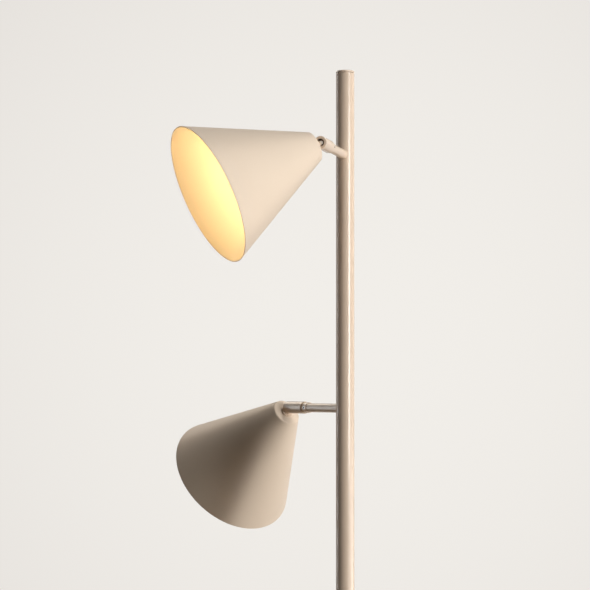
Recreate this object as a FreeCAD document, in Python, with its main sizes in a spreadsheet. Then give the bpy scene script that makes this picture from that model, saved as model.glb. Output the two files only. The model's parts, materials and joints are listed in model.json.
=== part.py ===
"""Two-headed floor lamp: a weighted foot, a slim pole and two cone shades on swivelling arms.

Millimetres, +Z up. The origin is on the floor, under the pole's axis, and -Y is the front.
Every sub-part is an object whose sizes are bound to the cells of the sheet "Sizes".
"""

import FreeCAD, Part
import math
import os
import re

import Sketcher

# The driving dimensions: what each one sets, in millimetres or degrees.
SIZES = {
    # fits
    "running_clearance": 0.05,  # radial, a turning fit
    "thread_clearance": 0.05,  # radial, a screwed fit
    "plug_clearance": 0.1,  # radial, a pushed-in plug
    "loose_clearance": 0.3,  # a gap that is only there to clear
    # foot
    "base_diameter": 260,
    "pad_thickness": 2,
    "pad_inset": 4,
    "weight_thickness": 16,
    "weight_gap": 0.4,
    "weight_chamfer": 3,
    "cover_wall": 1.2,
    "cover_lift": 1,
    "cover_round": 3,
    "recess_diameter": 36,
    "recess_depth": 11,
    "channel_width": 14,
    "channel_depth": 13,
    "stud_diameter": 10,
    "stud_hole_clearance": 0.2,
    "base_washer_diameter": 30,
    "base_washer_thickness": 2,
    "base_nut_flats": 17,
    "base_nut_thickness": 4,
    "block_width": 18,
    "block_length": 26,
    "block_height": 9,
    "block_reach": 48,
    "block_margin": 1.5,
    "block_screw_diameter": 4,
    "block_screw_depth": 5,
    "block_screw_setback": 0.5,
    "gland_bore": 6.2,
    "gland_neck_diameter": 10,
    "gland_flange_diameter": 13,
    "gland_barb_diameter": 12,
    "gland_flange_thickness": 1.8,
    "gland_height": 8.5,
    "gland_grip": 0.3,
    # pole
    "lamp_height": 1500,
    "pole_diameter": 20,
    "pole_wall": 1.2,
    "pole_seam_height": 760,
    "foot_flange_diameter": 34,
    "foot_flange_thickness": 3,
    "foot_plug_length": 30,
    "foot_thread_length": 18,
    "joiner_length": 60,
    "joiner_bore": 12,
    "cap_thickness": 3,
    "cap_round": 1.5,
    "cap_plug_length": 8,
    "anchor_height": 24,
    "anchor_bore": 10.4,
    # leads
    "lead_diameter": 2.8,
    "lead_gap": 0.8,
    "lead_height": 3.7,
    "lead_foot_bend": 6,
    "lead_arm_bend": 5,
    # arms
    "upper_arm_drop": 92.9,
    "arm_spacing": 275.2,
    "upper_arm_azimuth": 255.77,
    "lower_arm_azimuth": 122.52,
    "arm_reach": 110,
    "arm_diameter": 10,
    "arm_hole_clearance": 0.1,
    "collar_diameter": 11.7,
    "collar_length": 7,
    "collar_groove_length": 2,
    "collar_groove_depth": 0.7,
    "collar_screw_diameter": 3.4,
    "collar_screw_recess": 0.2,
    "collar_screw_length": 1.9,
    # swivel
    "barrel_length_behind": 30,
    "barrel_nose": 6.3,
    "barrel_wall": 0.8,
    "barrel_chamfer": 0.5,
    "bush_wall": 0.9,
    "snap_ring_thickness": 1.2,
    "snap_ring_depth": 0.6,
    "snap_ring_setback": 1.4,
    "seat_setback": 4,
    "seat_length": 3.5,
    "seat_bore": 4.4,
    "spring_height": 1.8,
    "spring_thickness": 0.5,
    "spring_bore": 5.2,
    "upper_swivel_angle": -60.33,
    "lower_swivel_angle": 8.17,
    # tilting stud
    "ball_diameter": 10,
    "neck_diameter": 7.2,
    "neck_lead_clearance": 0.6,
    "stud_flange_diameter": 13,
    "stud_flange_thickness": 0.9,
    "stud_thread_diameter": 10,
    "stud_thread_length": 13,
    "upper_tilt_angle": 58.56,
    "lower_tilt_angle": 36.36,
    # shade
    "shade_clearance": 0.17,
    "shade_length": 128,
    "shade_narrow_diameter": 32,
    "shade_rim_diameter": 148.5,
    "shade_wall": 0.6,
    "shade_round": 0.6,
    "shade_washer_diameter": 22,
    "shade_washer_thickness": 1.2,
    "shade_nut_flats": 14,
    "shade_nut_thickness": 3,
    # lampholder
    "holder_diameter": 26,
    "holder_throat_diameter": 18,
    "holder_flare": 4,
    "holder_floor": 3,
    "holder_wall": 1.6,
    "holder_cap_length": 13.2,
    "holder_plate_offset": 8.8,
    "holder_plate_thickness": 1.6,
    "sleeve_wall": 0.5,
    "sleeve_setback": 1.5,
    "contact_diameter": 7,
    "contact_thickness": 0.8,
    "rivet_diameter": 3,
    # bulb
    "bulb_diameter": 45,
    "bulb_length": 78,
    "bulb_wall": 1.2,
    "bulb_seam_offset": 12.5,
    "bulb_cap_diameter": 13.9,
    "bulb_cap_wall": 0.5,
    "bulb_cap_length": 19.4,
    "bulb_cap_taper": 1.4,
    "bulb_tip_diameter": 7.2,
    "bulb_tip_button": 5,
    "bulb_tip_height": 1.6,
    "bulb_neck_length": 9,
    "bulb_neck_wall": 1.4,
    "bulb_shoulder_diameter": 17.6,
    "bulb_shell_wall": 1.5,
}

# Heights above the floor.
WEIGHT_TOP = "(pad_thickness + weight_thickness)"
COVER_TOP = f"({WEIGHT_TOP} + cover_wall)"
RECESS_TOP = "(pad_thickness + recess_depth)"
CHANNEL_TOP = "(pad_thickness + channel_depth)"
WASHER_BOTTOM = f"({RECESS_TOP} - base_washer_thickness)"
NUT_BOTTOM = f"({WASHER_BOTTOM} - base_nut_thickness)"
POLE_BOTTOM = f"({COVER_TOP} + foot_flange_thickness)"
STUD_TOP = f"({POLE_BOTTOM} + foot_thread_length)"
POLE_TOP = "(lamp_height - cap_thickness)"
UPPER_ARM_HEIGHT = "(lamp_height - upper_arm_drop)"
LOWER_ARM_HEIGHT = f"({UPPER_ARM_HEIGHT} - arm_spacing)"
ARM_HEIGHTS = {"upper": UPPER_ARM_HEIGHT, "lower": LOWER_ARM_HEIGHT}

# Diameters that follow from what passes through or fits around.
LEAD_WAY = "(2 * lead_diameter + lead_gap + 2 * loose_clearance)"
STUD_HOLE = "(stud_diameter + 2 * stud_hole_clearance)"
COVER_BORE = "(base_diameter - 2 * cover_wall)"
WEIGHT_DIAMETER = f"({COVER_BORE} - 2 * weight_gap)"
POLE_BORE = "(pole_diameter - 2 * pole_wall)"
PLUG_DIAMETER = f"({POLE_BORE} - 2 * plug_clearance)"
STUD_THREAD = "(stud_diameter + 2 * thread_clearance)"
ARM_THREAD = "(arm_diameter + 2 * thread_clearance)"
ARM_HOLE = "(arm_diameter + 2 * arm_hole_clearance)"
ARM_SLIDE = "(arm_diameter + 2 * running_clearance)"
BUSH_DIAMETER = f"({ARM_SLIDE} + 2 * bush_wall)"
BUSH_THREAD = f"({BUSH_DIAMETER} + 2 * thread_clearance)"
BARREL_DIAMETER = f"({BUSH_THREAD} + 2 * barrel_wall)"
BALL_SOCKET = "(ball_diameter + 2 * running_clearance)"
SLOT_WIDTH = "(neck_diameter + 2 * loose_clearance)"
NECK_BORE = "(lead_diameter + 2 * neck_lead_clearance)"
SHADE_HOLE = "(stud_thread_diameter + 2 * plug_clearance)"
HOLDER_THREAD = "(stud_thread_diameter + 2 * thread_clearance)"

# Stations along an arm, from the tilt axis outwards: what is nearer the pole is negative.
BARREL_BACK = "(-barrel_length_behind)"
COLLAR_FRONT = f"({BARREL_BACK} - collar_groove_length)"
COLLAR_BACK = f"({COLLAR_FRONT} - collar_length)"
SEAT_FRONT = "(-seat_setback)"
SEAT_BACK = f"({SEAT_FRONT} - seat_length)"
ARM_END = f"({SEAT_BACK} - spring_height)"
SOCKET_BACK = f"({ARM_END} + loose_clearance)"
RING_FRONT = f"({ARM_END} - snap_ring_setback)"
RING_BACK = f"({RING_FRONT} - snap_ring_thickness)"
BUSH_FRONT = f"({RING_BACK} - running_clearance)"
ARM_START = "(anchor_bore / 2 + loose_clearance - arm_reach)"

# Stations along a shade's axis, from the tilt axis outwards.
SHADE_FACE = f"(sqrt(pow(barrel_nose; 2) + pow({BARREL_DIAMETER} / 2; 2)) + shade_clearance)"
SHADE_FLOOR = f"({SHADE_FACE} + shade_wall)"
SHADE_RIM = f"({SHADE_FACE} + shade_length)"
SHADE_WASHER_FRONT = f"({SHADE_FLOOR} + shade_washer_thickness)"
SHADE_NUT_FRONT = f"({SHADE_WASHER_FRONT} + shade_nut_thickness)"
STUD_END = f"({SHADE_FACE} + stud_thread_length)"
HOLDER_BACK = f"({SHADE_NUT_FRONT} + loose_clearance)"
HOLDER_SEAM = f"({HOLDER_BACK} + holder_cap_length)"
PLATE_BACK = f"({HOLDER_BACK} + holder_plate_offset)"
PLATE_FRONT = f"({PLATE_BACK} + holder_plate_thickness)"
CONTACT_FRONT = f"({PLATE_FRONT} + contact_thickness)"
CAP_BACK = f"({CONTACT_FRONT} + bulb_tip_height)"
CAP_FRONT = f"({CAP_BACK} + bulb_cap_length)"
HOLDER_FRONT = f"({CAP_FRONT} - loose_clearance)"
SLEEVE_FRONT = f"({HOLDER_FRONT} - sleeve_setback)"
BULB_CENTRE = f"({CONTACT_FRONT} + bulb_length - bulb_diameter / 2)"
BULB_SEAM = f"({BULB_CENTRE} - bulb_seam_offset)"

# Radial wall of the cone, which is thicker than the sheet because the wall leans.
SHADE_SLOPE = "((shade_rim_diameter - shade_narrow_diameter) / 2 / shade_length)"
SHADE_RADIAL_WALL = f"(shade_wall * sqrt(1 + pow({SHADE_SLOPE}; 2)))"

AXES = {"X": "1; 0; 0", "Y": "0; 1; 0", "Z": "0; 0; 1"}
HEADS = ("upper", "lower")

document = FreeCAD.newDocument("FloorLamp")
pieces = []


def fill_sheet():
    """Writes every driving dimension to its own named cell."""
    sheet = document.addObject("Spreadsheet::Sheet", "Sizes")
    for row, (name, value) in enumerate(SIZES.items(), start=1):
        sheet.set(f"A{row}", name.replace("_", " "))
        sheet.set(f"B{row}", str(value))
        sheet.setAlias(f"B{row}", name)
    document.recompute()
    return sheet


def bound(text):
    """The expression with each dimension's name tied to its cell."""
    return re.sub(
        r"[a-z_]+",
        lambda word: f"Sizes.{word[0]}" if word[0] in SIZES else word[0],
        str(text),
    )


def size(name):
    """One driving dimension as a number, read back from the sheet."""
    return float(document.Sizes.get(name))


def shift(x="0", y="0", z="0"):
    """A move along the three axes."""
    return f"placement(vector({x}; {y}; {z}); rotation(vector(0; 0; 1); 0))"


def turn(axis, angle):
    """A turn about one axis, in degrees."""
    return f"placement(vector(0; 0; 0); rotation(vector({AXES[axis]}); {angle}))"


def place(piece, *moves):
    """Binds the place of a piece to its moves, the outermost first."""
    if moves:
        piece.setExpression("Placement", bound(" * ".join(moves)))
    return piece


def node(piece, label, *moves):
    """Names a finished sub-part, puts it in its place and lists it for export."""
    piece.Label = label
    pieces.append(piece)
    return place(piece, *moves)


def origin_plane(body, role):
    """One of a body's own origin planes."""
    return next(plane for plane in body.Origin.OriginFeatures if plane.Role == role)


def sketch_on(body, name, role):
    """An empty sketch on one of the body's origin planes."""
    sketch = body.newObject("Sketcher::SketchObject", name)
    sketch.AttachmentSupport = [(origin_plane(body, role), "")]
    sketch.MapMode = "FlatFace"
    return sketch


def draw_outline(sketch, points):
    """A closed outline of straight lines, each corner held by two bound distances.

    It starts as a regular polygon, and the distances pull it into shape.
    """
    count = len(points)
    angles = [2 * math.pi * corner / count for corner in range(count)]
    corners = [FreeCAD.Vector(math.cos(angle), math.sin(angle), 0) for angle in angles]
    for corner in range(count):
        sketch.addGeometry(Part.LineSegment(corners[corner], corners[(corner + 1) % count]), False)
    ties = [Sketcher.Constraint("Coincident", corner, 2, (corner + 1) % count, 1) for corner in range(count)]
    for corner, start in enumerate(corners):
        ties.append(Sketcher.Constraint("DistanceX", -1, 1, corner, 1, start.x))
        ties.append(Sketcher.Constraint("DistanceY", -1, 1, corner, 1, start.y))
    sketch.addConstraint(ties)
    for corner, (across, up) in enumerate(points):
        sketch.setExpression(f"Constraints[{count + 2 * corner}]", bound(across))
        sketch.setExpression(f"Constraints[{count + 2 * corner + 1}]", bound(up))


def draw_circle(sketch, diameter, across="0", up="0"):
    """A circle whose place and diameter are bound."""
    sketch.addGeometry(Part.Circle(FreeCAD.Vector(1, 1, 0), FreeCAD.Vector(0, 0, 1), 1), False)
    sketch.addConstraint(
        [
            Sketcher.Constraint("DistanceX", -1, 1, 0, 3, 1),
            Sketcher.Constraint("DistanceY", -1, 1, 0, 3, 1),
            Sketcher.Constraint("Diameter", 0, 2),
        ]
    )
    for index, value in enumerate((across, up, diameter)):
        sketch.setExpression(f"Constraints[{index}]", bound(value))


def turned(name, about, outline):
    """A body turned about its X or Z axis from (along the axis, diameter) corners."""
    body = document.addObject("PartDesign::Body", name)
    sketch = sketch_on(body, f"{name}_outline", "XZ_Plane")
    corners = [(along, f"({diameter}) / 2") for along, diameter in outline]
    if about == "Z":
        corners = [(radius, along) for along, radius in corners]
    draw_outline(sketch, corners)
    turning = body.newObject("PartDesign::Revolution", f"{name}_turning")
    turning.Profile = sketch
    turning.ReferenceAxis = (sketch, ["V_Axis" if about == "Z" else "H_Axis"])
    turning.Angle = 360
    body.Tip = turning
    document.recompute()
    return body


def cut_into(body, feature):
    """Makes a cut the body's last feature and tests that it took something away."""
    before = body.Shape.Volume
    body.Tip = feature
    document.recompute()
    if not body.Shape.Volume < before:
        raise RuntimeError(f"{feature.Name} cuts nothing")


def drill(body, name, role, diameter, across="0", up="0", ahead=True, both=False):
    """A round hole right through, from one of the body's planes.

    It runs along the plane's axis where ahead is true, against it where not, or both ways.
    """
    sketch = sketch_on(body, f"{name}_circle", role)
    draw_circle(sketch, diameter, across, up)
    hole = body.newObject("PartDesign::Pocket", name)
    hole.Profile = sketch
    hole.Type = "ThroughAll"
    hole.Midplane = both
    hole.Reversed = ahead != (role == "XZ_Plane")
    cut_into(body, hole)


def pocket(body, name, role, corners, depth, both=False):
    """A straight-sided pocket: along the plane's axis from the plane, or centred on it."""
    sketch = sketch_on(body, f"{name}_outline", role)
    draw_outline(sketch, corners)
    cut = body.newObject("PartDesign::Pocket", name)
    cut.Profile = sketch
    cut.Midplane = both
    cut.Reversed = not both
    cut.setExpression("Length", bound(depth))
    cut_into(body, cut)


def round_edge(body, name, radius, diameter):
    """Rounds the round edges of one diameter that lie furthest along the body."""
    base = body.Tip
    rounds = {
        f"Edge{number}": edge
        for number, edge in enumerate(base.Shape.Edges, start=1)
        if isinstance(edge.Curve, Part.Circle) and abs(2 * edge.Curve.Radius - diameter) < 1e-6
    }
    furthest = max(edge.Curve.Center.z for edge in rounds.values())
    names = [key for key, edge in rounds.items() if abs(edge.Curve.Center.z - furthest) < 1e-6]
    fillet = body.newObject("PartDesign::Fillet", name)
    fillet.Base = (base, names)
    fillet.setExpression("Radius", bound(radius))
    body.Tip = fillet
    document.recompute()


def rod(name, diameter, length, *moves):
    """A plain round bar along its own Z axis."""
    bar = document.addObject("Part::Cylinder", name)
    bar.setExpression("Radius", bound(f"({diameter}) / 2"))
    bar.setExpression("Height", bound(length))
    return place(bar, *moves)


def less(name, base, *tools):
    """A piece with tools taken out of it."""
    for count, tool in enumerate(tools, start=1):
        cut = document.addObject("Part::Cut", f"{name}_cut_{count}")
        cut.Base = base
        cut.Tool = tool
        base = cut
    return base


def pipe(name, outer, inner, back, front, *moves):
    """A plain tube along its own X axis, between two stations."""
    return node(
        turned(name, "X", [(back, inner), (back, outer), (front, outer), (front, inner)]), name, *moves
    )


def hex_nut(name, flats, bore, thickness, *moves):
    """A plain hexagon nut along its own Z axis."""
    hexagon = document.addObject("Part::Prism", f"{name}_hexagon")
    hexagon.Polygon = 6
    hexagon.setExpression("Circumradius", bound(f"{flats} / sqrt(3)"))
    hexagon.setExpression("Height", bound(thickness))
    return node(less(name, hexagon, rod(f"{name}_bore", bore, thickness)), name, *moves)


def bent_lead(name, points, bends):
    """A round lead along straight runs that are joined by tangent arcs."""
    edges = []
    start = points[0]
    for before, corner, after, radius in zip(points, points[1:], points[2:], bends):
        inward = (before - corner).normalize()
        outward = (after - corner).normalize()
        half_turn = (math.pi - inward.getAngle(outward)) / 2
        trim = radius * math.tan(half_turn)
        entry = corner + inward * trim
        leaving = corner + outward * trim
        middle = (inward + outward).normalize()
        apex = corner + middle * (radius / math.cos(half_turn) - radius)
        edges.append(Part.LineSegment(start, entry).toShape())
        edges.append(Part.Arc(entry, apex, leaving).toShape())
        start = leaving
    edges.append(Part.LineSegment(start, points[-1]).toShape())
    path = Part.Wire(edges)
    radius = size("lead_diameter") / 2
    section = Part.Wire(Part.Circle(points[0], points[1] - points[0], radius).toShape())
    solid = path.makePipeShell([section], True, True)
    expected = math.pi * radius**2 * path.Length
    if abs(solid.Volume - expected) > 0.001 * expected:
        raise RuntimeError(f"{name}: the swept volume is wrong")
    lead = document.addObject("Part::Feature", name)
    lead.Shape = solid
    node(lead, name)


def build_foot():
    """The pad, the iron weight, its steel cover and what clamps them to the pole."""
    pad_diameter = "(base_diameter - 2 * pad_inset)"
    node(rod("base_pad", pad_diameter, "pad_thickness"), "base_pad")

    weight = turned(
        "base_weight",
        "Z",
        [
            (RECESS_TOP, STUD_HOLE),
            (RECESS_TOP, "recess_diameter"),
            ("pad_thickness", "recess_diameter"),
            ("pad_thickness", WEIGHT_DIAMETER),
            (f"{WEIGHT_TOP} - weight_chamfer", WEIGHT_DIAMETER),
            (WEIGHT_TOP, f"{WEIGHT_DIAMETER} - 2 * weight_chamfer"),
            (WEIGHT_TOP, STUD_HOLE),
        ],
    )
    side = "channel_width / 2"
    inner_end = "recess_diameter / 2 - channel_width / 4"
    outer_end = "base_diameter / 2"
    channel = [(f"-{side}", inner_end), (side, inner_end), (side, outer_end), (f"-{side}", outer_end)]
    pocket(weight, "cable_channel", "XY_Plane", channel, CHANNEL_TOP)
    side = "(block_width / 2 + block_margin)"
    inner_end = "block_reach - block_margin"
    outer_end = "block_reach + block_length + block_margin"
    well = [(f"-{side}", inner_end), (side, inner_end), (side, outer_end), (f"-{side}", outer_end)]
    pocket(weight, "terminal_well", "XY_Plane", well, CHANNEL_TOP)
    node(weight, "base_weight")

    cover = turned(
        "base_cover",
        "Z",
        [
            (WEIGHT_TOP, STUD_HOLE),
            (WEIGHT_TOP, f"{COVER_BORE} - 2 * (cover_round - cover_wall)"),
            (f"{WEIGHT_TOP} - cover_round + cover_wall", COVER_BORE),
            ("cover_lift", COVER_BORE),
            ("cover_lift", "base_diameter"),
            (COVER_TOP, "base_diameter"),
            (COVER_TOP, STUD_HOLE),
        ],
    )
    round_edge(cover, "cover_shoulder", "cover_round", size("base_diameter"))
    gland_hole = "gland_neck_diameter + 2 * plug_clearance"
    drill(cover, "gland_hole", "XZ_Plane", gland_hole, up="gland_height")
    node(cover, "base_cover")

    stud = [
        (NUT_BOTTOM, LEAD_WAY),
        (NUT_BOTTOM, "stud_diameter"),
        (STUD_TOP, "stud_diameter"),
        (STUD_TOP, LEAD_WAY),
    ]
    node(turned("base_stud_tube", "Z", stud), "base_stud_tube")
    washer = rod("base_washer_disc", "base_washer_diameter", "base_washer_thickness")
    washer_hole = rod("base_washer_hole", STUD_HOLE, "base_washer_thickness")
    node(less("base_washer", washer, washer_hole), "base_washer", shift(z=WASHER_BOTTOM))
    hex_nut("base_nut", "base_nut_flats", STUD_THREAD, "base_nut_thickness", shift(z=NUT_BOTTOM))


def build_inlet():
    """The gland in the rear of the cover, and the terminal block with its screws behind it."""
    skirt_inside = f"{COVER_BORE} / 2 - gland_grip"
    gland = turned(
        "cable_gland",
        "X",
        [
            (f"{skirt_inside} - gland_flange_thickness", "gland_bore"),
            (f"{skirt_inside} - gland_flange_thickness", "gland_neck_diameter"),
            (skirt_inside, "gland_barb_diameter"),
            (skirt_inside, "gland_neck_diameter"),
            ("base_diameter / 2", "gland_neck_diameter"),
            ("base_diameter / 2", "gland_flange_diameter"),
            ("base_diameter / 2 + gland_flange_thickness", "gland_flange_diameter - gland_flange_thickness"),
            ("base_diameter / 2 + gland_flange_thickness", "gland_bore"),
        ],
    )
    node(gland, "cable_gland", shift(z="gland_height"), turn("Z", "90"))

    block = document.addObject("Part::Box", "terminal_block_body")
    block.setExpression("Length", bound("block_width"))
    block.setExpression("Width", bound("block_length"))
    block.setExpression("Height", bound("block_height"))
    screw_hole = "block_screw_diameter + 2 * thread_clearance"
    screw_length = "block_screw_depth - block_screw_setback"
    hole_floor = "block_height - block_screw_depth"
    holes = []
    screws = document.addObject("Part::Compound", "terminal_screws")
    for column in ("1 / 4", "3 / 4"):
        for row in ("1 / 4", "3 / 4"):
            spot = shift(f"block_width * {column}", f"block_length * {row}", hole_floor)
            holes.append(rod("terminal_screw_hole", screw_hole, "block_screw_depth", spot))
            screws.Links += [rod("terminal_screw", "block_screw_diameter", screw_length, spot)]
    corner = shift("-block_width / 2", "block_reach", "pad_thickness")
    node(less("terminal_block", block, *holes), "terminal_block", corner)
    node(screws, "terminal_screws", corner)


def build_pole():
    """The foot plug, the two tubes with their joiner, and the cap."""
    foot = turned(
        "pole_foot",
        "Z",
        [
            (COVER_TOP, STUD_THREAD),
            (COVER_TOP, "foot_flange_diameter"),
            (POLE_BOTTOM, "foot_flange_diameter"),
            (POLE_BOTTOM, PLUG_DIAMETER),
            (f"{POLE_BOTTOM} + foot_plug_length", PLUG_DIAMETER),
            (f"{POLE_BOTTOM} + foot_plug_length", STUD_THREAD),
        ],
    )
    node(foot, "pole_foot")

    def tube(name, bottom, top):
        corners = [(bottom, POLE_BORE), (bottom, "pole_diameter"), (top, "pole_diameter"), (top, POLE_BORE)]
        return turned(name, "Z", corners)

    node(tube("pole_lower", POLE_BOTTOM, "pole_seam_height"), "pole_lower")
    upper = tube("pole_upper_tube", "pole_seam_height", POLE_TOP)
    holes = []
    for head in HEADS:
        spot = (shift(z=ARM_HEIGHTS[head]), turn("Z", f"{head}_arm_azimuth"), turn("Y", "90"))
        holes.append(rod(f"{head}_arm_hole", ARM_HOLE, "pole_diameter", *spot))
    node(less("pole_upper", upper, *holes), "pole_upper")

    bottom = "pole_seam_height - joiner_length / 2"
    top = "pole_seam_height + joiner_length / 2"
    corners = [(bottom, "joiner_bore"), (bottom, PLUG_DIAMETER), (top, PLUG_DIAMETER), (top, "joiner_bore")]
    node(turned("pole_joiner", "Z", corners), "pole_joiner")

    cap = turned(
        "pole_cap",
        "Z",
        [
            (f"{POLE_TOP} - cap_plug_length", "0"),
            (f"{POLE_TOP} - cap_plug_length", PLUG_DIAMETER),
            (POLE_TOP, PLUG_DIAMETER),
            (POLE_TOP, "pole_diameter"),
            ("lamp_height", "pole_diameter"),
            ("lamp_height", "0"),
        ],
    )
    round_edge(cap, "cap_shoulder", "cap_round", size("pole_diameter"))
    node(cap, "pole_cap")


def build_arm(head):
    """One arm with its anchor in the pole, its collar and its snap ring."""
    height = shift(z=ARM_HEIGHTS[head])
    azimuth = turn("Z", f"{head}_arm_azimuth")
    pivot = (height, azimuth, shift("arm_reach"))

    anchor = turned(
        f"{head}_arm_anchor",
        "Z",
        [
            ("-anchor_height / 2", "anchor_bore"),
            ("-anchor_height / 2", PLUG_DIAMETER),
            ("anchor_height / 2", PLUG_DIAMETER),
            ("anchor_height / 2", "anchor_bore"),
        ],
    )
    drill(anchor, f"{head}_anchor_thread", "YZ_Plane", ARM_THREAD)
    node(anchor, f"{head}_arm_anchor", height, azimuth)

    groove = "arm_diameter - 2 * collar_groove_depth"
    ring_groove = "arm_diameter - 2 * snap_ring_depth"
    arm = turned(
        f"{head}_arm",
        "X",
        [
            (ARM_START, LEAD_WAY),
            (ARM_START, "arm_diameter"),
            (COLLAR_FRONT, "arm_diameter"),
            (COLLAR_FRONT, groove),
            (BARREL_BACK, groove),
            (BARREL_BACK, "arm_diameter"),
            (RING_BACK, "arm_diameter"),
            (RING_BACK, ring_groove),
            (RING_FRONT, ring_groove),
            (RING_FRONT, "arm_diameter"),
            (ARM_END, "arm_diameter"),
            (ARM_END, LEAD_WAY),
        ],
    )
    screw_station = f"({COLLAR_FRONT} - collar_length / 2)"
    screw_hole = "collar_screw_diameter + 2 * thread_clearance"
    drill(arm, f"{head}_arm_screw_hole", "XZ_Plane", screw_hole, across=screw_station)
    node(arm, f"{head}_arm", *pivot)

    collar = turned(
        f"{head}_arm_collar",
        "X",
        [
            (COLLAR_BACK, ARM_SLIDE),
            (COLLAR_BACK, "collar_diameter"),
            (COLLAR_FRONT, "collar_diameter"),
            (COLLAR_FRONT, ARM_SLIDE),
        ],
    )
    drill(collar, f"{head}_collar_screw_hole", "XZ_Plane", screw_hole, across=screw_station)
    node(collar, f"{head}_arm_collar", *pivot)

    screw_out = "collar_diameter / 2 - collar_screw_recess"
    spot = shift(screw_station, screw_out)
    screw = rod(f"{head}_collar_screw", "collar_screw_diameter", "collar_screw_length")
    node(screw, f"{head}_collar_screw", *pivot, spot, turn("X", "90"))

    ring_bore = f"{ring_groove} + 2 * thread_clearance"
    ring_outer = f"{BUSH_DIAMETER} - 2 * running_clearance"
    pipe(f"{head}_snap_ring", ring_outer, ring_bore, RING_BACK, RING_FRONT, *pivot)


def build_knuckle(head, frame):
    """One swivelling barrel with its rear bush, and the seat and spring behind the ball."""
    shoulder = f"{BARREL_DIAMETER} - 2 * barrel_chamfer"
    barrel = turned(
        f"{head}_barrel",
        "X",
        [
            (BARREL_BACK, BUSH_THREAD),
            (BARREL_BACK, shoulder),
            (f"{BARREL_BACK} + barrel_chamfer", BARREL_DIAMETER),
            ("barrel_nose - barrel_chamfer", BARREL_DIAMETER),
            ("barrel_nose", shoulder),
            ("barrel_nose", "0"),
            ("0", "0"),
            ("0", BALL_SOCKET),
            (SOCKET_BACK, BALL_SOCKET),
            (SOCKET_BACK, BUSH_THREAD),
        ],
    )
    socket = barrel.newObject("PartDesign::SubtractiveSphere", f"{head}_ball_socket")
    socket.setExpression("Radius", bound(f"{BALL_SOCKET} / 2"))
    cut_into(barrel, socket)
    drill(barrel, f"{head}_nose_hole", "YZ_Plane", SLOT_WIDTH)
    drill(barrel, f"{head}_slot_end", "XY_Plane", SLOT_WIDTH, ahead=False)
    deep = f"-{BARREL_DIAMETER}"
    slot = [("0", "0"), (BARREL_DIAMETER, "0"), (BARREL_DIAMETER, deep), ("0", deep)]
    pocket(barrel, f"{head}_slot", "XZ_Plane", slot, SLOT_WIDTH, both=True)
    node(barrel, f"{head}_barrel", *frame)

    pipe(f"{head}_barrel_bush", BUSH_DIAMETER, ARM_SLIDE, BARREL_BACK, BUSH_FRONT, *frame)

    seat = turned(
        f"{head}_ball_seat",
        "X",
        [
            (SEAT_BACK, "seat_bore"),
            (SEAT_BACK, "ball_diameter"),
            (SEAT_FRONT, "ball_diameter"),
            (SEAT_FRONT, "seat_bore"),
        ],
    )
    cup = seat.newObject("PartDesign::SubtractiveSphere", f"{head}_seat_cup")
    cup.setExpression("Radius", bound(f"{BALL_SOCKET} / 2"))
    cut_into(seat, cup)
    node(seat, f"{head}_ball_seat", *frame)

    spring = turned(
        f"{head}_seat_spring",
        "X",
        [
            (ARM_END, "ball_diameter"),
            (f"{ARM_END} + spring_thickness", "ball_diameter"),
            (SEAT_BACK, "spring_bore"),
            (f"{SEAT_BACK} - spring_thickness", "spring_bore"),
        ],
    )
    node(spring, f"{head}_seat_spring", *frame)


def build_shade(head, frame):
    """One cone shade on its ball stud, clamped by a washer and a nut."""
    stud = turned(
        f"{head}_ball_stud",
        "X",
        [
            ("0", "0"),
            ("0", "neck_diameter"),
            (f"{SHADE_FACE} - stud_flange_thickness", "neck_diameter"),
            (f"{SHADE_FACE} - stud_flange_thickness", "stud_flange_diameter"),
            (SHADE_FACE, "stud_flange_diameter"),
            (SHADE_FACE, "stud_thread_diameter"),
            (STUD_END, "stud_thread_diameter"),
            (STUD_END, "0"),
        ],
    )
    ball = stud.newObject("PartDesign::AdditiveSphere", f"{head}_ball")
    ball.setExpression("Radius", bound("ball_diameter / 2"))
    stud.Tip = ball
    document.recompute()
    drill(stud, f"{head}_stud_bore", "YZ_Plane", NECK_BORE, both=True)
    node(stud, f"{head}_ball_stud", *frame)

    narrow_inside = f"shade_narrow_diameter + 2 * shade_wall * {SHADE_SLOPE} - 2 * {SHADE_RADIAL_WALL}"
    shade = turned(
        f"{head}_shade",
        "X",
        [
            (SHADE_FACE, SHADE_HOLE),
            (SHADE_FACE, "shade_narrow_diameter - 2 * shade_round"),
            (f"{SHADE_FACE} + shade_round", f"shade_narrow_diameter + 2 * shade_round * {SHADE_SLOPE}"),
            (SHADE_RIM, "shade_rim_diameter"),
            (SHADE_RIM, f"shade_rim_diameter - 2 * {SHADE_RADIAL_WALL}"),
            (SHADE_FLOOR, narrow_inside),
            (SHADE_FLOOR, SHADE_HOLE),
        ],
    )
    node(shade, f"{head}_shade", *frame)

    pipe(f"{head}_shade_washer", "shade_washer_diameter", SHADE_HOLE, SHADE_FLOOR, SHADE_WASHER_FRONT, *frame)
    lie_along = turn("Y", "90")
    nut_place = (*frame, shift(SHADE_WASHER_FRONT), lie_along)
    hex_nut(f"{head}_shade_nut", "shade_nut_flats", HOLDER_THREAD, "shade_nut_thickness", *nut_place)


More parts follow.
